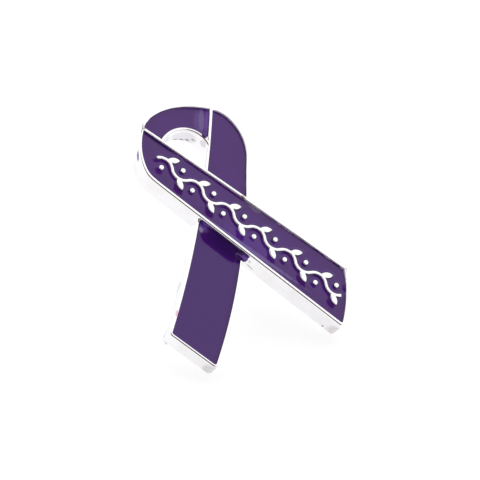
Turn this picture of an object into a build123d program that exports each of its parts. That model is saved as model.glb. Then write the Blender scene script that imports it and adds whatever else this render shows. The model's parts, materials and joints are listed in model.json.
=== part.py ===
from build123d import *

import math
import os

# A lapel pin: a cast awareness ribbon with enamelled cells and a nail at its back. Millimetres.
# The ribbon is drawn in its own plane: X to the right, Y towards the loop, Z out of its face, with
# the back face at Z 0. At the end the pin is laid down as it rests by itself, on the lower corners
# of its two tails and the tip of its nail, with the origin on the floor below the middle of its box.

# Overall size of the ribbon, over the corners of its tails and from the loop to the tails
ribbon_width = 19.2
ribbon_height = 26.4

# Heights of the rims over the back face
front_band_height = 2.9
loop_height = 2.75
tail_height = 2.3

# Metal round the enamel
rim_width = 0.28
front_inner_rim_width = 0.35
cell_depth = 0.34
corner_radius = 0.45
hole_radius = 2.47

# Enamel: how far it lies below the rims, and its gap to the walls of its cell
enamel_drop = 0.2
enamel_clearance = 0.02

# Front band: its widths where it leaves the loop and at its cut end, where its inner edge leaves the
# loop, how far its inner corner reaches past the outer one, and how far its outer edge and its cut
# end bow out
front_loop_width = 4.24
front_tail_width = 5.5
front_inner_start = 5.1
front_end_slant = 2.85
front_outer_bow = 0.1
front_end_bow = 0.4

# Back band, in the same terms: its cut end is straight, and both long edges bow towards the inside
back_loop_width = 5.11
back_tail_width = 5.17
back_inner_start = 6.8
back_end_slant = 2.25
back_outer_bow = 0.73
back_inner_bow = 0.8

# Running vine, the raised ornament along the front band
vine_half_waves = 12
vine_start = 2.9
vine_start_inset = 1.85
vine_end_margin = 1.9
vine_end_inset = 2.75
stem_width = 0.3
stem_swing = 0.42
leaf_length = 1.3
leaf_width = 0.58
leaf_angle = 35.0
berry_radius = 0.24
berry_offset = 0.55

# Nail at the back, and the socket that its spigot is staked into
post_radius = 0.6
post_length = 9.5
post_tip_radius = 0.2
post_tip_length = 1.4
spigot_radius = 0.4
spigot_length = 1.2
socket_clearance = 0.02

# Points of the plan: x is a share of ribbon_width, y a share of ribbon_height
POINTS = {
    "front_outer_start": (-0.212, 0.448),
    "front_outer_end": (0.492, -0.301),
    "back_outer_start": (0.175, 0.440),
    "back_outer_end": (-0.513, -0.302),
    "loop_top": (-0.056, 0.490),
    "loop_right": (0.282, 0.291),
    "loop_left": (-0.296, 0.291),
    "hole_centre": (-0.052, 0.297),
    "post": (0.042, 0.053),
}

# Headings of the loop's outer edge there, in degrees from X, on its way clockwise over the top
HEADINGS = {
    "front_outer_start": 48.0,
    "loop_top": 0.0,
    "back_outer_start": -29.0,
    "loop_right": -90.0,
    "loop_left": 90.0,
}


def point(name):
    """A named point of the plan."""
    x_share, y_share = POINTS[name]
    return Vector(x_share * ribbon_width, y_share * ribbon_height)


def direction(degrees):
    """A unit vector in the plan, by its angle from X."""
    return Vector(math.cos(math.radians(degrees)), math.sin(math.radians(degrees)))


def bowed_edge(start, end, bow):
    """A straight edge, or an arc whose middle stands off the straight line by the vector bow."""
    if bow.length == 0:
        return Line(start, end)
    return ThreePointArc(start, (start + end) / 2 + bow, end)


def two_arcs(start, start_way, end, end_way):
    """A smooth edge of two arcs that leaves start in one direction and reaches end in another."""
    span = end - start
    turn = 2 * (1 - start_way.dot(end_way))
    reach = span.dot(start_way + end_way)
    arm = (math.sqrt(reach**2 + turn * span.dot(span)) - reach) / turn
    middle = (start + end + (start_way - end_way) * arm) / 2
    first = TangentArc(start, middle, tangent=start_way)
    return [first, TangentArc(middle, end, tangent=first % 1)]


# The two bands. Each is laid off from its outer edge: along it from the loop to the cut end, and
# inward across it. The front band's inside is to the right of that way, the back band's to the left.

front_start = point("front_outer_start")
front_end = point("front_outer_end")
front_along = (front_end - front_start).normalized()
front_inward = Vector(front_along.Y, -front_along.X)
front_length = (front_end - front_start).length


def on_front_band(along, inward):
    return front_start + front_along * along + front_inward * inward


front_inner_top = on_front_band(front_inner_start, front_loop_width)
front_inner_end = on_front_band(front_length + front_end_slant, front_tail_width)

back_start = point("back_outer_start")
back_end = point("back_outer_end")
back_along = (back_end - back_start).normalized()
back_inward = Vector(-back_along.Y, back_along.X)
back_length = (back_end - back_start).length


def on_back_band(along, inward):
    return back_start + back_along * along + back_inward * inward


back_inner_top = on_back_band(back_inner_start, back_loop_width)
back_inner_end = on_back_band(back_length + back_end_slant, back_tail_width)
back_inner_edge = bowed_edge(back_inner_end, back_inner_top, back_inward * back_inner_bow)

# The loop's outer edge, clockwise: past the front band, over the top, and down past the back band


def loop_node(name):
    """A point of the loop's outer edge, with the direction of the edge there."""
    return point(name), direction(HEADINGS[name])


front_inner_way = (front_inner_top - front_inner_end).normalized()
loop_past_front = [
    *two_arcs(front_inner_top, front_inner_way, *loop_node("loop_left")),
    *two_arcs(*loop_node("loop_left"), *loop_node("front_outer_start")),
]
loop_over_top = [
    *two_arcs(*loop_node("front_outer_start"), *loop_node("loop_top")),
    *two_arcs(*loop_node("loop_top"), *loop_node("back_outer_start")),
]
loop_past_back = [
    *two_arcs(*loop_node("back_outer_start"), *loop_node("loop_right")),
    *two_arcs(*loop_node("loop_right"), back_inner_top, -(back_inner_edge % 1)),
]


def with_round_corners(outline, corners):
    """The plan of a band with the two corners of its cut end rounded."""
    chosen = [outline.vertices().sort_by_distance(corner)[0] for corner in corners]
    return fillet(chosen, corner_radius)


front_band = with_round_corners(
    make_face(
        [
            bowed_edge(front_start, front_end, front_inward * -front_outer_bow),
            bowed_edge(front_end, front_inner_end, front_along * front_end_bow),
            Line(front_inner_end, front_inner_top),
            *loop_past_front,
        ]
    ),
    [front_end, front_inner_end],
)
back_band = with_round_corners(
    make_face(
        [
            bowed_edge(back_start, back_end, back_inward * back_outer_bow),
            Line(back_end, back_inner_end),
            back_inner_edge,
            *loop_past_back,
        ]
    ),
    [back_end, back_inner_end],
)
inside_loop = make_face(
    [*loop_past_front, *loop_over_top, *loop_past_back, Line(back_inner_top, front_inner_top)]
)


def topmost(sketch):
    """Of several separate faces, the one nearest the top of the loop."""
    return sketch.faces().sort_by(Axis.Y)[-1]


def lowest(sketch):
    """Of several separate faces, the one nearest the tails."""
    return sketch.faces().sort_by(Axis.Y)[0]


def grown(face, margin):
    """A plan grown by a margin all round, or shrunk by a negative one."""
    return offset(face, margin) if margin else face


def hole(margin=0.0):
    """The round hole in the loop before the bands cover its lower part."""
    return Pos(point("hole_centre")) * Circle(hole_radius + margin)


# Plans of the metal, and of the four cells in it

arch = topmost(inside_loop - hole() - front_band - back_band)
loop_side = topmost(back_band - front_band)
back_tail = lowest(back_band - front_band)


def cell_plans(clearance=0.0):
    """The plans of the cells, or with a clearance those of the enamel that fills them."""
    rim = rim_width + clearance
    front_metal = grown(front_band, clearance)
    back_metal = grown(back_band, clearance)
    inside_front = grown(front_band, -rim)
    inside_back = grown(back_band, -rim)
    wider_inner_rim = Pos(front_inward * (rim_width - front_inner_rim_width))
    return {
        "loop_top": topmost(grown(inside_loop, -rim) - hole(rim) - front_metal - back_metal),
        "loop_side": topmost(inside_back - front_metal),
        "back_tail": lowest(inside_back - front_metal),
        "front_band": inside_front & (wider_inner_rim * inside_front),
    }


# The running vine, drawn along its own axis: a stem of arcs that swing to one side and the other,
# with a leaf on the outside of each arc and a berry across from it

vine_from = on_front_band(vine_start, vine_start_inset)
vine_to = on_front_band(front_length + front_end_slant - vine_end_margin, vine_end_inset)
vine_plane = Plane(vine_from, x_dir=vine_to - vine_from, z_dir=(0, 0, 1))
half_wave = (vine_to - vine_from).length / vine_half_waves
stem_radius = ((half_wave / 2) ** 2 + stem_swing**2) / (2 * stem_swing)


def stem_arc(middle, side, grown):
    """One arc of the stem: a ring's sector of even width, grown by a margin on both sides."""
    centre = Vector(middle, side * (stem_swing - stem_radius))
    to_start = (Vector(middle - half_wave / 2, 0) - centre).normalized()
    to_end = (Vector(middle + half_wave / 2, 0) - centre).normalized()
    edges = []
    for radius in (stem_radius - stem_width / 2 - grown, stem_radius + stem_width / 2 + grown):
        top = centre + Vector(0, side * radius)
        edges.append(ThreePointArc(centre + to_start * radius, top, centre + to_end * radius))
    inner, outer = edges
    return make_face([inner, Line(inner @ 1, outer @ 1), outer, Line(outer @ 0, inner @ 0)])


def leaf(middle, side, grown):
    """A pointed leaf of two arcs, from the stem outward and on."""
    root = Vector(middle, side * stem_swing)
    lean = direction(side * leaf_angle)
    across = Vector(-lean.Y, lean.X) * (leaf_width / 2 + grown)
    tip = root + lean * (leaf_length + grown)
    heart = root + lean * (leaf_length / 2)
    edges = [ThreePointArc(root, heart + across, tip), ThreePointArc(tip, heart - across, root)]
    return make_face(edges)


def vine(grown=0.0):
    pieces = []
    for i in range(vine_half_waves):
        middle = (i + 0.5) * half_wave
        side = 1 if i % 2 == 0 else -1
        pieces.append(stem_arc(middle, side, grown))
        pieces.append(leaf(middle, side, grown))
        pieces.append(Pos(middle, -side * berry_offset) * Circle(berry_radius + grown))
    return vine_plane * (Sketch() + pieces)


# The casting: four plans at their own heights, with a cell sunk into each and the vine left standing

RIM_HEIGHTS = {
    "loop_top": loop_height,
    "loop_side": loop_height,
    "back_tail": tail_height,
    "front_band": front_band_height,
}


def on_cell_floor(name, plan, thickness):
    """A plan raised from the floor of a cell."""
    return Pos(0, 0, RIM_HEIGHTS[name] - cell_depth) * extrude(plan, thickness)


post_place = Pos(point("post"))
casting = extrude(front_band, front_band_height)
for plan, height in ((arch, loop_height), (loop_side, loop_height), (back_tail, tail_height)):
    casting += extrude(plan, height)
for name, plan in cell_plans().items():
    casting -= on_cell_floor(name, plan, cell_depth)
casting += on_cell_floor("front_band", vine(), cell_depth)
casting -= post_place * extrude(Circle(spigot_radius + socket_clearance), spigot_length + socket_clearance)

# The enamel: each fill stands on the floor of its cell and ends short of its walls

parts = {"ribbon_casting": casting}
for name, plan in cell_plans(enamel_clearance).items():
    if name == "front_band":
        plan -= vine(enamel_clearance)
    parts["enamel_" + name] = on_cell_floor(name, plan, cell_depth - enamel_drop)

# The nail: its spigot fills the socket, its shoulder seats on the back face, and its even shank points
# out of the back and tapers to a blunt tip

spigot = extrude(Circle(spigot_radius), spigot_length)
shank = extrude(Circle(post_radius), post_tip_length - post_length)
tip = Pos(0, 0, -post_length + post_tip_length / 2) * Cone(post_tip_radius, post_radius, post_tip_length)
parts["tack_post"] = post_place * (spigot + shank + tip)

# Laid down as it rests: on the lowest round corner of each tail, at the back face, and on the edge of
# the nail's tip that is furthest from the tails


def lowest_of_corner(band):
    """The lowest point, down the plan, of the rounded corner that a band stands on."""
    corner = band.edges().filter_by(GeomType.CIRCLE).sort_by(Axis.Y)[0]
    return corner.arc_center - Vector(0, corner.radius)


right_foot = lowest_of_corner(front_band)
left_foot = lowest_of_corner(back_band)
nail_foot = point("post") + Vector(0, post_tip_radius, -post_length)
up = (nail_foot - left_foot).cross(left_foot - right_foot).normalized()
if up.Z < 0:
    up = -up
level_x = (Vector(1, 0, 0) - up * up.X).normalized()
floor = Plane(right_foot, x_dir=level_x, z_dir=up)
laid = {name: floor.to_local_coords(solid) for name, solid in parts.items()}
box = Compound(list(laid.values())).bounding_box()
to_origin = Pos(-box.center().X, -box.center().Y, -box.min.Z)

os.makedirs("parts", exist_ok=True)
for name, solid in laid.items():
    export_step(to_origin * solid, f"parts/{name}.step")
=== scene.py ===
import json
import math

import bmesh
import bpy
from mathutils import Matrix, Vector


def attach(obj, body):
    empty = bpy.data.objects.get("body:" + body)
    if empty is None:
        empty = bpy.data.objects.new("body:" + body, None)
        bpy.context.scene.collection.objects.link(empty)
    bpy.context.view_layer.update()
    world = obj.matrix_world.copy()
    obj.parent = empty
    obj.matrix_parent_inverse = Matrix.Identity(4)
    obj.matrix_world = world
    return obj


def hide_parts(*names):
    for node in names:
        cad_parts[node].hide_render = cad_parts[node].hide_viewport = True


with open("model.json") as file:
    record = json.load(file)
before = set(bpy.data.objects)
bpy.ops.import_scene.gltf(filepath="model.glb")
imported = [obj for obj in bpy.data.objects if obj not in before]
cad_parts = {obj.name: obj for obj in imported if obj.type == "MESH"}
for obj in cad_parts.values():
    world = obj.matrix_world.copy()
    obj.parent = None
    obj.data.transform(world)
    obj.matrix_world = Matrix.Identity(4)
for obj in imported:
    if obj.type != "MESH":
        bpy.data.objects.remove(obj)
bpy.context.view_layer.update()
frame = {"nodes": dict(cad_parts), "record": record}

# How the pin lies. It rests tilted on its two tails and its nail, so its face has axes of its own: X across
# the ribbon, Y towards the loop, Z out of the face from 0 at the back. The pieces are shaped flat on a bench
# in millimetres on those axes, and then laid down with BENCH_TO_FLOOR, which the nail's mount gives.
MM = 0.001
NAIL_ON_BENCH = (0.8064, 1.3992, -4.05)

nail_mount = frame["record"]["mounts"][0]
out_of_face = -Vector(nail_mount["axis"]).normalized()
across_face = Vector((out_of_face.z, 0, -out_of_face.x)).normalized()
turned = Matrix((across_face, out_of_face.cross(across_face), out_of_face)).transposed()
bench_origin = Vector(nail_mount["pos_m"]) - turned @ (Vector(NAIL_ON_BENCH) * MM)
BENCH_TO_FLOOR = Matrix.Translation(bench_origin) @ turned.to_4x4() @ Matrix.Scale(MM, 4)


# The ribbon is one zinc die casting with its rims, cells and vine, tumbled and silver plated. It is a copy of
# the CAD casting with worn edges: most round the outside, less at the back, and least in the cells and at the
# low steps. Upright corners stay sharp.
FRONT_TOP = 2.9
CELL_DEPTH = 0.34
LOW_STEP = 0.2
SOCKET_RADIUS = 0.5
OUTER_ROUNDING = 0.15
BACK_ROUNDING = 0.12
STEP_ROUNDING = 0.07
ROUNDING_SEGMENTS = 4

# The rim of the front band is worn less where its wall faces this way: from FACING_STARTS on it falls to
# STEP_ROUNDING over FACING_SPAN. It is worn as little near the corner where the band crosses the loop.
FRONT_OUTWARD = Vector((0.82, 0.57, 0))
FACING_STARTS = 0.3
FACING_SPAN = 0.6
CROSSING_CORNER = Vector((-4.04, 11.67))
CORNER_REACH = 0.25

# How the mesh is read and cut: what counts as an edge, a wall, a flat face or a level, and the finest cuts
EDGE_ANGLE = 35
CASTING_SMOOTH_ANGLE = 32
WALL_LEAN = 0.5
FLAT_LEAN = 0.9
MERGE_WITHIN = 0.001
FLAT_WITHIN = 0.5
LEVEL_SLACK = 0.01
DEPTH_SLACK = 0.05
LONGEST_EDGE = 0.6
MOST_HALVINGS = 6
SMALLEST_CUT = 0.3

# Sizes of the plating's patterns, and how far above the back face its skin changes, in millimetres
CLOUD_SIZE = 2.2
POLISH_SIZE = 0.6
RUB_SIZE = 0.35
RUB_STRETCH = (6, 0.5, 3)
RUB_HEADING = 38
GRAIN_SIZE = 0.12
SKIN_FADES = (0.02, 0.08)
SKIN_DULLNESS = 0.22
RUB_SHARE = 0.15
SILVER_RELIEF = 0.02

# How ragged a mark's edge is, in millimetres and in shares of its half lengths, and where it fades
RAGGED_SIZE = 0.25
RAGGEDNESS = 0.6
MARK_FADES = (0.95, 1.6)

# Wear and stains of the plating, and painted shade on it at its lowest corners and in its hole, in bench
# millimetres: middle, half lengths, heading and dip in degrees, colour, and how much of it covers the silver
SILVER_MARKS = {
    "smear of enamel on the wall": ((-5.47, 9.27, 2.30), (0.50, 0.30, 0.30), -106, 38, "#5A2F8C", 1.0),
    "pit": ((5.70, -12.05, 0.40), (0.13, 0.13, 0.13), 0, 0, "#5C5A5E", 0.9),
    "worn rim": ((2.51, 1.98, 2.85), (0.28, 0.14, 0.14), -55, 0, "#7A5A3C", 0.8),
    "rubbed tail rim": ((-8.28, -6.35, 2.25), (0.40, 0.12, 0.12), -124, 0, "#D3A3B4", 0.8),
    # Painted contact shade: the walls are greyed where the two lowest corners touch the table.
    "painted contact shade at the right corner": ((6.60, -13.10, 0.75), (1.25, 0.80, 1.45), 0, 0, "#D2CCCC", 0.75),
    "painted contact shade at the left corner": ((-6.95, -12.35, 0.85), (1.15, 0.75, 1.40), 0, 0, "#CEC8C8", 0.75),
    # Painted shade inside the hole: its wall greyer, and darker in the corner by the divider.
    "painted shade on the wall of the hole": ((0.33, 9.94, 1.20), (1.80, 0.60, 1.10), -20, 0, "#DDDADF", 0.9),
    "painted shade in the corner of the hole": ((1.39, 8.46, 2.00), (0.55, 0.40, 0.60), 0, 0, "#C8C0C8", 0.6),
    # Painted shade: a dark dotted line along the foot of the hole's wall.
    "first painted shade at the foot of the hole's wall": ((-0.40, 10.23, 0.32), (0.24, 0.13, 0.13), -18, 0, "#5E5860", 0.9),
    "second painted shade at the foot of the hole's wall": ((0.16, 10.03, 0.38), (0.24, 0.13, 0.13), -25, 0, "#5E5860", 0.9),
    "third painted shade at the foot of the hole's wall": ((0.61, 9.73, 0.62), (0.22, 0.13, 0.13), -38, 0, "#5E5860", 0.9),
    "fourth painted shade at the foot of the hole's wall": ((0.93, 9.37, 1.20), (0.22, 0.13, 0.13), -50, 0, "#7D777C", 0.8),
    "scratch on the front wall": ((1.03, -4.30, 0.93), (0.50, 0.10, 0.10), -56, 12, "#8F8A90", 0.8),
    "second scratch": ((0.84, -3.99, 1.75), (0.16, 0.10, 0.30), -56, 0, "#B5B0B6", 0.6),
}


def linear(sheet_colour):
    """The linear colour of an sRGB hex value."""
    channels = [int(sheet_colour[i:i + 2], 16) / 255 for i in (1, 3, 5)]
    return [c / 12.92 if c <= 0.04045 else ((c + 0.055) / 1.055) ** 2.4 for c in channels] + [1.0]


def feed(tree, node, inputs):
    """Gives a node's inputs their values, their sRGB hex colours, or the sockets that feed them."""
    for name, value in inputs.items():
        if isinstance(value, bpy.types.NodeSocket):
            tree.links.new(value, node.inputs[name])
        elif isinstance(value, str):
            node.inputs[name].default_value = linear(value)
        else:
            node.inputs[name].default_value = value


def add_node(tree, kind, inputs, **settings):
    """A node of a tree, with its settings, its input values and its links."""
    node = tree.nodes.new(kind)
    for name, value in settings.items():
        setattr(node, name, value)
    feed(tree, node, inputs)
    return node


def new_material(name):
    """A material with its node tree and its Principled shader."""
    material = bpy.data.materials.new(name)
    material.use_nodes = True
    return material, material.node_tree, material.node_tree.nodes["Principled BSDF"]


def with_marks(tree, place, colour, marks):
    """A colour with a table's marks laid over it, each soft and slightly ragged at its edge."""
    edge = add_node(tree, "ShaderNodeTexNoise", {"Vector": place, "Scale": 1 / RAGGED_SIZE, "Detail": 3})
    ragged = add_node(tree, "ShaderNodeMath", {0: edge.outputs["Fac"], 1: RAGGEDNESS}, operation="MULTIPLY")
    for middle, half_lengths, heading, dip, tint, cover in marks.values():
        turn = (0, math.radians(dip), math.radians(heading))
        box = {"Vector": place, "Location": middle, "Rotation": turn, "Scale": half_lengths}
        in_box = add_node(tree, "ShaderNodeMapping", box, vector_type="TEXTURE")
        off_middle = add_node(tree, "ShaderNodeVectorMath", {0: in_box.outputs["Vector"]}, operation="LENGTH")
        both = {0: off_middle.outputs["Value"], 1: ragged.outputs["Value"]}
        far = add_node(tree, "ShaderNodeMath", both, operation="ADD")
        fade = {"From Min": MARK_FADES[0], "From Max": MARK_FADES[1], "To Min": cover, "To Max": 0}
        fade["Value"] = far.outputs["Value"]
        mask = add_node(tree, "ShaderNodeMapRange", fade, interpolation_type="SMOOTHSTEP")
        colours = {0: mask.outputs["Result"], 6: colour, 7: tint}
        colour = add_node(tree, "ShaderNodeMix", colours, data_type="RGBA").outputs[2]
    return colour


def only(piece):
    """Selects a piece alone and makes it the active one."""
    bpy.ops.object.select_all(action="DESELECT")
    piece.select_set(True)
    bpy.context.view_layer.objects.active = piece


def on_bench(node, name):
    """A copy of a CAD node, flat on the bench, its triangles merged to whole faces."""
    piece = bpy.data.objects.new(name, frame["nodes"][node].data.copy())
    bpy.context.scene.collection.objects.link(piece)
    piece.data.transform(BENCH_TO_FLOOR.inverted())
    piece.data.materials.clear()
    only(piece)
    bpy.ops.object.mode_set(mode="EDIT")
    bpy.ops.mesh.select_all(action="SELECT")
    bpy.ops.mesh.remove_doubles(threshold=MERGE_WITHIN)
    bpy.ops.mesh.dissolve_limited(angle_limit=math.radians(FLAT_WITHIN))
    bpy.ops.object.mode_set(mode="OBJECT")
    return piece


def lay_down(piece, material, node):
    """Notes each point's bench place, and lays the finished piece on the floor in place of its CAD node."""
    places = piece.data.attributes.new("bench", "FLOAT_VECTOR", "POINT")
    for vertex in piece.data.vertices:
        places.data[vertex.index].vector = vertex.co
    piece.data.transform(BENCH_TO_FLOOR)
    piece.data.materials.append(material)
    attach(piece, "root")
    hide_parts(node)


# The plating mirrors softly where it was tumbled; cream and grey clouds and hairline rubs show its age, and
# the back keeps the dull grain of the mould.
silver, tree, surface = new_material("silver_plating")
place = add_node(tree, "ShaderNodeAttribute", {}, attribute_name="bench").outputs["Vector"]
clouds = add_node(tree, "ShaderNodeTexNoise", {"Vector": place, "Scale": 1 / CLOUD_SIZE, "Detail": 3})
cloudy = add_node(
    tree,
    "ShaderNodeMapRange",
    {"Value": clouds.outputs["Fac"], "From Min": 0.35, "From Max": 0.7},
    interpolation_type="SMOOTHSTEP",
)
plating = add_node(
    tree, "ShaderNodeMix", {0: cloudy.outputs["Result"], 6: "#F7F6F8", 7: "#F2F0EF"}, data_type="RGBA"
)
off_back = add_node(tree, "ShaderNodeSeparateXYZ", {"Vector": place}).outputs["Z"]
mould_skin = add_node(
    tree,
    "ShaderNodeMapRange",
    {"Value": off_back, "From Min": SKIN_FADES[0], "From Max": SKIN_FADES[1], "To Min": 1, "To Max": 0},
    interpolation_type="SMOOTHSTEP",
).outputs["Result"]
polish_clouds = add_node(tree, "ShaderNodeTexNoise", {"Vector": place, "Scale": 1 / POLISH_SIZE, "Detail": 3})
polish = add_node(
    tree,
    "ShaderNodeMapRange",
    {"Value": polish_clouds.outputs["Fac"], "From Min": 0.3, "From Max": 0.7, "To Min": 0.08, "To Max": 0.2},
    interpolation_type="SMOOTHSTEP",
)
rough = add_node(
    tree,
    "ShaderNodeMath",
    {0: mould_skin, 1: SKIN_DULLNESS, 2: polish.outputs["Result"]},
    operation="MULTIPLY_ADD",
)
rubbed_way = add_node(
    tree,
    "ShaderNodeMapping",
    {"Vector": place, "Rotation": (0, 0, math.radians(RUB_HEADING)), "Scale": RUB_STRETCH},
)
rub_lines = add_node(
    tree, "ShaderNodeTexNoise", {"Vector": rubbed_way.outputs["Vector"], "Scale": 1 / RUB_SIZE, "Detail": 3}
)
rubs = add_node(
    tree,
    "ShaderNodeMapRange",
    {"Value": rub_lines.outputs["Fac"], "From Min": 0.55, "From Max": 0.75},
    interpolation_type="SMOOTHSTEP",
)
mould_grain = add_node(tree, "ShaderNodeTexNoise", {"Vector": place, "Scale": 1 / GRAIN_SIZE, "Detail": 3})
grain = add_node(tree, "ShaderNodeMath", {0: mould_grain.outputs["Fac"], 1: mould_skin}, operation="MULTIPLY")
relief = add_node(
    tree,
    "ShaderNodeMath",
    {0: rubs.outputs["Result"], 1: RUB_SHARE, 2: grain.outputs["Value"]},
    operation="MULTIPLY_ADD",
)
bump = add_node(
    tree,
    "ShaderNodeBump",
    {"Height": relief.outputs["Value"], "Strength": 0.35, "Distance": SILVER_RELIEF * MM},
)
silver_look = {
    "Base Color": with_marks(tree, place, plating.outputs[2], SILVER_MARKS),
    "Metallic": 1,
    "Roughness": rough.outputs["Value"],
    "Normal": bump.outputs["Normal"],
}
feed(tree, surface, silver_look)


def cut_evenly(piece, longest):
    """Halves a piece's sharp edges down to a length, and cuts its wide flat faces to triangles."""
    only(piece)
    bpy.ops.object.mode_set(mode="EDIT")
    bpy.ops.mesh.select_mode(type="EDGE")
    mesh = bmesh.from_edit_mesh(piece.data)
    for halving in range(MOST_HALVINGS):
        for edge in mesh.edges:
            sharp = len(edge.link_faces) == 2 and edge.calc_face_angle() > math.radians(EDGE_ANGLE)
            edge.select_set(sharp and edge.calc_length() > longest)
        bmesh.update_edit_mesh(piece.data)
        bpy.ops.mesh.subdivide(number_cuts=1)
        mesh = bmesh.from_edit_mesh(piece.data)
    bpy.ops.mesh.select_mode(type="FACE")
    mesh = bmesh.from_edit_mesh(piece.data)
    for face in mesh.faces:
        face.select_set(abs(face.normal.z) > FLAT_LEAN and face.calc_area() > SMALLEST_CUT)
    bmesh.update_edit_mesh(piece.data)
    bpy.ops.mesh.quads_convert_to_tris(quad_method="BEAUTY", ngon_method="BEAUTY")
    bpy.ops.object.mode_set(mode="OBJECT")


def rounding_of(edge):
    """How far an edge of the casting has worn round, in millimetres."""
    if len(edge.link_faces) != 2 or edge.calc_face_angle_signed() < math.radians(EDGE_ANGLE):
        return 0
    walls = [face for face in edge.link_faces if abs(face.normal.z) < WALL_LEAN]
    if len(walls) == 2 and abs(edge.verts[0].co.z - edge.verts[1].co.z) > LOW_STEP:
        return 0
    if len(walls) != 1:
        return STEP_ROUNDING
    top = min(vertex.co.z for vertex in edge.verts)
    foot = min(vertex.co.z for vertex in walls[0].verts)
    if top - foot > CELL_DEPTH + DEPTH_SLACK:
        if (edge.verts[0].co.xy - CROSSING_CORNER).length < CORNER_REACH:
            return STEP_ROUNDING
        if top <= FRONT_TOP - LEVEL_SLACK:
            return OUTER_ROUNDING
        facing = walls[0].normal.dot(FRONT_OUTWARD)
        share = max(0, min(1, (facing - FACING_STARTS) / FACING_SPAN))
        return OUTER_ROUNDING + (STEP_ROUNDING - OUTER_ROUNDING) * share
    from_nail = (edge.verts[0].co.xy - Vector(NAIL_ON_BENCH).xy).length
    if top < LEVEL_SLACK and from_nail > SOCKET_RADIUS:
        return BACK_ROUNDING
    return STEP_ROUNDING


casting = on_bench("ribbon_casting", "silver_casting")
cut_evenly(casting, LONGEST_EDGE)
bpy.ops.object.shade_smooth_by_angle(angle=math.radians(CASTING_SMOOTH_ANGLE))
mesh = bmesh.new()
mesh.from_mesh(casting.data)
wear = mesh.edges.layers.float.new("bevel_weight_edge")
for edge in mesh.edges:
    edge[wear] = rounding_of(edge) / OUTER_ROUNDING
mesh.to_mesh(casting.data)
mesh.free()
worn = casting.modifiers.new("worn", "BEVEL")
worn.limit_method = "WEIGHT"
worn.width = OUTER_ROUNDING
worn.segments = ROUNDING_SEGMENTS
worn.use_clamp_overlap = False
worn.harden_normals = True
only(casting)
bpy.ops.object.modifier_apply(modifier="worn")
lay_down(casting, silver, "ribbon_casting")


# The enamel is poured into the cells and baked. It shrinks as it sets, so it lies lowest in the middle of a
# cell and climbs its walls in a meniscus. On the tail it has drawn together under the front band in a deep
# pool, and in two corners a little of it has run over the rim.
ENAMEL_GRID = 0.1
SHEET_MARGIN = 1
SHEET_DEPTH = 1
TOP_SLACK = 0.001
WAVE_SIZE = 1.6
WAVE_HEIGHT = 0.015
FULL_CLIMB = 0.24
SMOOTHINGS = 4
ENAMEL_SMOOTH_ANGLE = 50
DEPTH_SIZE = 2.8
GLOSS_SIZE = 1.2
DIMPLE_SIZE = 0.3
ENAMEL_RELIEF = 0.01
ENAMEL_IOR = 1.46

# How far the enamel of each cell has sunk, how far it climbs its walls, and over what width, in millimetres
CELLS = {
    "loop_top": (0.05, 0.08, 0.25),
    "loop_side": (0.05, 0.04, 0.15),
    "front_band": (0.08, 0.02, 0.15),
    "back_tail": (0.05, 0.08, 0.25),
}

# Stretches along which it climbs more than that: cell, ends, half width, rise, reach and shape of the curve
STRETCHES = {
    "round the vine": ("front_band", (-3.96, 8.39), (7.71, -10.28), 1.35, 0.15, 0.62, "SHARP"),
    "pool under the front band": ("back_tail", (-1.35, -0.13), (0.12, -2.29), 0.30, 0.38, 1.40, "LINEAR"),
    "along the upper rim": ("front_band", (-3.90, 11.20), (2.40, 1.70), 0.45, 0.04, 0.30, "SHARP"),
}

# Enamel that has run over a rim, in bench millimetres: cell, middle, half lengths, heading in degrees
DROPS = {
    "over the tail's rim": ("back_tail", (0.08, -3.34, 2.24), (0.66, 0.42, 0.16), -57),
    "down the corner beside the tail": ("back_tail", (0.38, -3.52, 2.14), (0.38, 0.20, 0.36), -56),
    "over the hole's rim": ("loop_top", (1.50, 9.02, 2.70), (0.34, 0.2, 0.13), -75),
}

# The fill of the loop's top ends here, short of the sharp corner of its cell
LOOP_TOP_END = (1.57, 8.94, 2.6)
LOOP_TOP_END_WAY = (0.1, -1, 0)

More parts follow.
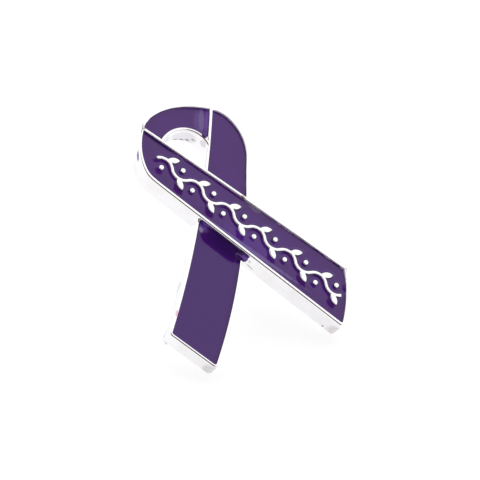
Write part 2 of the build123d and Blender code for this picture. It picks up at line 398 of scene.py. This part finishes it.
# Parts of the enamel that differ in depth, and painted highlights, reflections and shade on it, in bench
# millimetres, in the columns of the silver's marks
ENAMEL_MARKS = {
    "deeper fill of the tail": ((-4.90, -5.70, 2.15), (12.0, 6.0, 0.33), 57, 0, "#43126E", 1.0),
    # Painted highlights: lighter bands of reflection on the enamel where it climbs the divider.
    "painted highlight beside the divider": ((2.00, 10.62, 2.6), (1.2, 0.26, 0.4), 65, 0, "#8A74B8", 0.4),
    "faint painted highlight beside it": ((1.80, 10.62, 2.6), (1.2, 0.60, 0.4), 65, 0, "#7C66A8", 0.25),
    # Painted reflection: a vivid violet strip where the steep enamel mirrors the divider's wall.
    "painted reflection of the divider": ((2.52, 10.45, 2.6), (1.3, 0.17, 0.4), 62, 0, "#7038B4", 0.7),
    "thin zone over the crossing": ((1.10, -2.40, 2.7), (2.8, 0.95, 0.4), -57, 0, "#56248C", 0.8),
    # Painted shade under the rim in the upper corner of the front band.
    "painted shade in the corner of the front band": ((-3.00, 9.80, 2.7), (1.20, 0.42, 0.4), -60, 0, "#34165E", 0.9),
    # Painted sheen: a lighter band of reflection a little in from the lower rim.
    "painted sheen by the lower rim": ((0.42, -2.15, 2.6), (7.0, 0.20, 0.4), -56, 0, "#8674B0", 0.5),
    # The deep pool's dark colour is partly the thicker enamel and partly painted shade under the front band's
    # wall.
    "deep pool": ((-0.80, -1.98, 2.1), (2.45, 0.85, 0.6), -54, 0, "#301458", 0.9),
    # Painted highlight: a lighter violet corner above the pool.
    "painted highlight at the corner above the pool": ((-2.20, 0.75, 2.2), (0.50, 0.26, 0.4), -56, 0, "#6A3FB0", 0.8),
    "thin spill over the rim": ((0.40, -3.60, 2.3), (0.5, 0.3, 0.4), -56, 0, "#6A3FA6", 0.8),
    # Painted highlight: a lilac streak of reflection on the meniscus at the pool's corner.
    "painted highlight streak at the pool's corner": ((-2.55, 0.50, 2.2), (0.34, 0.2, 0.3), 90, 0, "#A48FC4", 0.8),
    # Painted sheen: a lighter spot of reflection by the upper rim.
    "painted sheen by the upper rim": ((3.30, 0.60, 2.7), (0.75, 0.3, 0.4), -55, 0, "#7C6A8C", 0.6),
}

# Soft enamel is a pigmented resin, baked: an even, deep purple with a slightly dimpled gloss. The white haze
# over it is the tent in that gloss. Slopes that face the dark gap lose it and show the purple alone. Over
# that the colour has a painted sheen, a little lighter, where the enamel starts to climb, and painted shade,
# much darker, high on the walls.
enamel, tree, surface = new_material("purple_enamel")
place = add_node(tree, "ShaderNodeAttribute", {}, attribute_name="bench").outputs["Vector"]
depths = add_node(tree, "ShaderNodeTexNoise", {"Vector": place, "Scale": 1 / DEPTH_SIZE, "Detail": 3})
depth = add_node(
    tree,
    "ShaderNodeMapRange",
    {"Value": depths.outputs["Fac"], "From Min": 0.3, "From Max": 0.7},
    interpolation_type="SMOOTHSTEP",
)
body = add_node(
    tree, "ShaderNodeMix", {0: depth.outputs["Result"], 6: "#4A1970", 7: "#4D1B76"}, data_type="RGBA"
)
# Painted sheen and painted shade, laid on by how far the enamel has climbed its walls
climb = add_node(tree, "ShaderNodeAttribute", {}, attribute_name="climb").outputs["Fac"]
low_climb = add_node(
    tree,
    "ShaderNodeMapRange",
    {"Value": climb, "From Min": 0.15, "From Max": 0.4, "To Min": 0, "To Max": 0.3},
    interpolation_type="SMOOTHSTEP",
)
climb_sheen = add_node(
    tree,
    "ShaderNodeMix",
    {0: low_climb.outputs["Result"], 6: body.outputs[2], 7: "#56308A"},
    data_type="RGBA",
)
# The darker colour high on the walls is painted shade.
high_climb = add_node(
    tree,
    "ShaderNodeMapRange",
    {"Value": climb, "From Min": 0.3, "From Max": 0.8},
    interpolation_type="SMOOTHSTEP",
)
deeper = add_node(
    tree,
    "ShaderNodeMix",
    {0: high_climb.outputs["Result"], 6: climb_sheen.outputs[2], 7: "#2A0F4A"},
    data_type="RGBA",
)
gloss_clouds = add_node(tree, "ShaderNodeTexNoise", {"Vector": place, "Scale": 1 / GLOSS_SIZE, "Detail": 3})
gloss = add_node(
    tree,
    "ShaderNodeMapRange",
    {"Value": gloss_clouds.outputs["Fac"], "From Min": 0.3, "From Max": 0.7, "To Min": 0.06, "To Max": 0.14},
    interpolation_type="SMOOTHSTEP",
)
dimples = add_node(tree, "ShaderNodeTexNoise", {"Vector": place, "Scale": 1 / DIMPLE_SIZE, "Detail": 3})
bump = add_node(
    tree,
    "ShaderNodeBump",
    {"Height": dimples.outputs["Fac"], "Strength": 0.2, "Distance": ENAMEL_RELIEF * MM},
)
enamel_look = {
    "Base Color": with_marks(tree, place, deeper.outputs[2], ENAMEL_MARKS),
    "IOR": ENAMEL_IOR,
    "Roughness": gloss.outputs["Result"],
    "Normal": bump.outputs["Normal"],
}
feed(tree, surface, enamel_look)


def lift(piece, chosen, rise, reach, curve):
    """Draws the chosen points of a piece up, and the enamel near them with them in a curve."""
    only(piece)
    bpy.ops.object.mode_set(mode="EDIT")
    bpy.ops.mesh.select_mode(type="VERT")
    bpy.ops.mesh.select_all(action="DESELECT")
    mesh = bmesh.from_edit_mesh(piece.data)
    for vertex in mesh.verts:
        vertex.select_set(chosen(vertex))
    mesh.select_flush_mode()
    bmesh.update_edit_mesh(piece.data)
    bpy.ops.transform.translate(
        value=(0, 0, rise),
        use_proportional_edit=True,
        proportional_edit_falloff=curve,
        proportional_size=reach,
        use_proportional_connected=False,
    )
    bpy.ops.object.mode_set(mode="OBJECT")


def poured(cell, sink):
    """The enamel of one cell, flat on the bench: a fine sheet cut to the cell, and the level of its top."""
    mould = on_bench("enamel_" + cell, "mould")
    corners = [Vector(c) for c in mould.bound_box]
    low = Vector([min(c[i] for c in corners) for i in range(3)])
    high = Vector([max(c[i] for c in corners) for i in range(3)])
    level = high.z - sink
    bpy.ops.object.select_all(action="DESELECT")
    bpy.ops.mesh.primitive_grid_add(
        x_subdivisions=round((high.x - low.x + SHEET_MARGIN) / ENAMEL_GRID),
        y_subdivisions=round((high.y - low.y + SHEET_MARGIN) / ENAMEL_GRID),
        size=1,
        location=((low.x + high.x) / 2, (low.y + high.y) / 2, level),
    )
    fill = bpy.context.object
    fill.name = "poured_" + cell
    fill.scale = (high.x - low.x + SHEET_MARGIN, high.y - low.y + SHEET_MARGIN, 1)
    bpy.ops.object.transform_apply(location=True, rotation=True, scale=True)
    bpy.ops.object.mode_set(mode="EDIT")
    bpy.ops.mesh.select_all(action="SELECT")
    bpy.ops.mesh.extrude_region_move(TRANSFORM_OT_translate={"value": (0, 0, -SHEET_DEPTH)})
    bpy.ops.mesh.select_all(action="SELECT")
    bpy.ops.mesh.normals_make_consistent(inside=False)
    bpy.ops.object.mode_set(mode="OBJECT")
    cut = fill.modifiers.new("cut", "BOOLEAN")
    cut.operation = "INTERSECT"
    cut.solver = "EXACT"
    cut.object = mould
    bpy.ops.object.modifier_apply(modifier="cut")
    bpy.data.objects.remove(mould)
    return fill, level


def shorten(fill, end, way):
    """Cuts off what lies beyond a plane, and closes the cut."""
    only(fill)
    bpy.ops.object.mode_set(mode="EDIT")
    bpy.ops.mesh.select_all(action="SELECT")
    bpy.ops.mesh.bisect(plane_co=end, plane_no=way, use_fill=True, clear_outer=True)
    bpy.ops.object.mode_set(mode="OBJECT")


def on_rim(vertex, level):
    """Whether a point is at the upper edge of a fill."""
    steep = any(abs(face.normal.z) < WALL_LEAN for face in vertex.link_faces)
    return steep and vertex.co.z > level - TOP_SLACK


def beside(vertex, start, end, half_width):
    """Whether a point is within a strip of the plan between two points."""
    way = Vector(end) - Vector(start)
    step = vertex.co.xy - Vector(start)
    aside = abs(step.x * way.y - step.y * way.x) / way.length
    return aside < half_width and 0 < step.dot(way) < way.length_squared


def settle(fill, level):
    """Smooths the top of a fill, as a liquid smooths itself, and leaves its edge on the walls."""
    only(fill)
    bpy.ops.object.mode_set(mode="EDIT")
    mesh = bmesh.from_edit_mesh(fill.data)
    for vertex in mesh.verts:
        vertex.select_set(vertex.co.z > level - TOP_SLACK and not on_rim(vertex, level))
    bmesh.update_edit_mesh(fill.data)
    bpy.ops.mesh.vertices_smooth(factor=0.5, repeat=SMOOTHINGS, xaxis=False, yaxis=False)
    bpy.ops.object.mode_set(mode="OBJECT")


def note_climb(fill, level):
    """Notes how far each point has climbed, from 0 at the level to 1 at FULL_CLIMB."""
    climbs = fill.data.attributes.new("climb", "FLOAT", "POINT")
    for vertex in fill.data.vertices:
        climbs.data[vertex.index].value = max(0, (vertex.co.z - level) / FULL_CLIMB)


def ruffle(fill, level):
    """Gives the top of a fill the low, wide waves of a poured surface."""
    tops = fill.vertex_groups.new(name="tops")
    tops.add([v.index for v in fill.data.vertices if v.co.z > level - LEVEL_SLACK], 1, "REPLACE")
    uneven = fill.modifiers.new("uneven", "DISPLACE")
    uneven.texture = waves
    uneven.direction = "Z"
    uneven.strength = WAVE_HEIGHT
    uneven.vertex_group = "tops"
    only(fill)
    bpy.ops.object.modifier_apply(modifier="uneven")


def add_drop(fill, middle, half_lengths, heading):
    """Joins a flat drop to a fill, where the enamel has run over."""
    bpy.ops.object.select_all(action="DESELECT")
    bpy.ops.mesh.primitive_uv_sphere_add(segments=32, ring_count=16, radius=1, location=middle)
    drop = bpy.context.object
    drop.scale = half_lengths
    drop.rotation_euler = (0, 0, math.radians(heading))
    bpy.ops.object.transform_apply(location=True, rotation=True, scale=True)
    fill.select_set(True)
    bpy.context.view_layer.objects.active = fill
    bpy.ops.object.join()


waves = bpy.data.textures.new("waves", "CLOUDS")
waves.noise_scale = WAVE_SIZE

for cell, (sink, rise, reach) in CELLS.items():
    fill, level = poured(cell, sink)
    if cell == "loop_top":
        shorten(fill, LOOP_TOP_END, LOOP_TOP_END_WAY)
    lift(fill, lambda vertex: on_rim(vertex, level), rise, reach, "SHARP")
    for where, start, end, half_width, more, width, curve in STRETCHES.values():
        if where == cell:
            lift(
                fill,
                lambda vertex: on_rim(vertex, level) and beside(vertex, start, end, half_width),
                more,
                width,
                curve,
            )
    settle(fill, level)
    note_climb(fill, level)
    ruffle(fill, level)
    for drop_cell, middle, half_lengths, heading in DROPS.values():
        if drop_cell == cell:
            add_drop(fill, middle, half_lengths, heading)
    bpy.ops.object.shade_smooth_by_angle(angle=math.radians(ENAMEL_SMOOTH_ANGLE))
    lay_down(fill, enamel, "enamel_" + cell)


# The nail is drawn steel wire with a ground point, plated like the ribbon and staked into its back. Drawing
# leaves fine lines along the wire, which catch the light as a faint grain. They are finer on a real nail,
# and are drawn coarse enough here to show.
LINES_PER_MM = 6
DRAWN_SHARE = 0.95
STEEL_RELIEF = 0.01

steel, tree, surface = new_material("plated_steel")
place = add_node(tree, "ShaderNodeTexCoord", {}).outputs["Object"]
along_nail = add_node(tree, "ShaderNodeVectorMath", {0: place, 1: out_of_face}, operation="DOT_PRODUCT")
drawn_out = add_node(
    tree, "ShaderNodeMath", {0: along_nail.outputs["Value"], 1: -DRAWN_SHARE}, operation="MULTIPLY"
)
way_along = add_node(
    tree, "ShaderNodeVectorMath", {0: out_of_face, "Scale": drawn_out.outputs["Value"]}, operation="SCALE"
)
drawn_place = add_node(
    tree, "ShaderNodeVectorMath", {0: place, 1: way_along.outputs["Vector"]}, operation="ADD"
)
lines = add_node(
    tree,
    "ShaderNodeTexNoise",
    {"Vector": drawn_place.outputs["Vector"], "Scale": LINES_PER_MM / MM, "Detail": 3},
).outputs["Fac"]
shine = add_node(tree, "ShaderNodeMix", {0: lines, 6: "#D6D6DA", 7: "#B4B4BA"}, data_type="RGBA")
brushed = add_node(
    tree,
    "ShaderNodeMapRange",
    {"Value": lines, "From Min": 0.3, "From Max": 0.7, "To Min": 0.18, "To Max": 0.32},
    interpolation_type="SMOOTHSTEP",
)
bump = add_node(tree, "ShaderNodeBump", {"Height": lines, "Strength": 0.4, "Distance": STEEL_RELIEF * MM})
steel_look = {
    "Base Color": shine.outputs[2],
    "Metallic": 1,
    "Roughness": brushed.outputs["Result"],
    "Normal": bump.outputs["Normal"],
}
feed(tree, surface, steel_look)
nail = frame["nodes"]["tack_post"]
nail.data.materials.clear()
nail.data.materials.append(steel)


# The pin lies on a table of white opal acrylic, far larger than itself. The sheet is cast with a matt face,
# so it mirrors next to nothing, and a weak light under it takes away all but the last of the shadow.
TABLE_SIZE = 3
TABLE_GLOW = 0.715
TABLE_ROUGHNESS = 0.9
HAZE_PER_MM = 0.06

acrylic, tree, surface = new_material("opal_acrylic")
place = add_node(tree, "ShaderNodeTexCoord", {}).outputs["Object"]
haze = add_node(tree, "ShaderNodeTexNoise", {"Vector": place, "Scale": HAZE_PER_MM / MM, "Detail": 2})
whites = add_node(
    tree, "ShaderNodeMix", {0: haze.outputs["Fac"], 6: "#A2A2A4", 7: "#9E9EA2"}, data_type="RGBA"
)
acrylic_look = {
    "Base Color": whites.outputs[2],
    "Roughness": TABLE_ROUGHNESS,
    "Emission Color": "#FFFFFF",
    "Emission Strength": TABLE_GLOW,
}
feed(tree, surface, acrylic_look)
bpy.ops.object.select_all(action="DESELECT")
bpy.ops.mesh.primitive_plane_add(size=TABLE_SIZE, location=(0, 0, 0))
floor = bpy.context.object
floor.name = "floor"
floor.data.materials.append(acrylic)


# The camera stands some 200 mm off, to the left of the pin and over its tails, and looks down on it. Its
# place, the point that it looks at and its upright are given on the bench's axes, in millimetres.
CAMERA_PLACE = (-78.8, -39.97, 182.32)
CAMERA_LOOKS_AT = (0.4696, -1.8559, 2.6927)
CAMERA_UPRIGHT = (0.3014, 0.8940, 0.3316)
CAMERA_LENS = 157.4
CAMERA_SENSOR = 36
CAMERA_SEES = (0.005, 20)

eye = BENCH_TO_FLOOR @ Vector(CAMERA_PLACE)
back = (eye - BENCH_TO_FLOOR @ Vector(CAMERA_LOOKS_AT)).normalized()
right = (turned @ Vector(CAMERA_UPRIGHT)).cross(back).normalized()
upright = back.cross(right)
camera_data = bpy.data.cameras.new("camera")
camera_data.lens = CAMERA_LENS
camera_data.sensor_width = CAMERA_SENSOR
camera_data.clip_start, camera_data.clip_end = CAMERA_SEES
camera = bpy.data.objects.new("camera", camera_data)
camera.matrix_world = Matrix.Translation(eye) @ Matrix((right, upright, back)).transposed().to_4x4()
bpy.context.scene.collection.objects.link(camera)
bpy.context.scene.camera = camera
bpy.context.scene.view_settings.view_transform = "Standard"


# The light of a white tent all round, with a gap for the camera through which the dark room shows. The gap is
# dark out to the first angle from the camera's direction, and fades to white at the second. It draws the thin
# dark lines along the rims, and darkens slopes of the enamel.
TENT_WHITE = 1.25
TENT_COLOUR = "#FFFFFF"
ROOM_COLOUR = "#33241C"
GAP_ANGLES = (30, 46)

world = bpy.data.worlds.new("tent")
bpy.context.scene.world = world
world.use_nodes = True
tree = world.node_tree
tree.nodes.clear()
way = add_node(tree, "ShaderNodeTexCoord", {}).outputs["Generated"]
to_camera = add_node(tree, "ShaderNodeVectorMath", {0: way, 1: back}, operation="DOT_PRODUCT")
gap_near, gap_far = [math.cos(math.radians(angle)) for angle in GAP_ANGLES]
in_gap = add_node(
    tree,
    "ShaderNodeMapRange",
    {"Value": to_camera.outputs["Value"], "From Min": gap_far, "From Max": gap_near},
    interpolation_type="SMOOTHSTEP",
)
colour = add_node(
    tree, "ShaderNodeMix", {0: in_gap.outputs["Result"], 6: TENT_COLOUR, 7: ROOM_COLOUR}, data_type="RGBA"
)
glow = add_node(tree, "ShaderNodeBackground", {"Color": colour.outputs[2], "Strength": TENT_WHITE})
add_node(tree, "ShaderNodeOutputWorld", {"Surface": glow.outputs["Background"]})
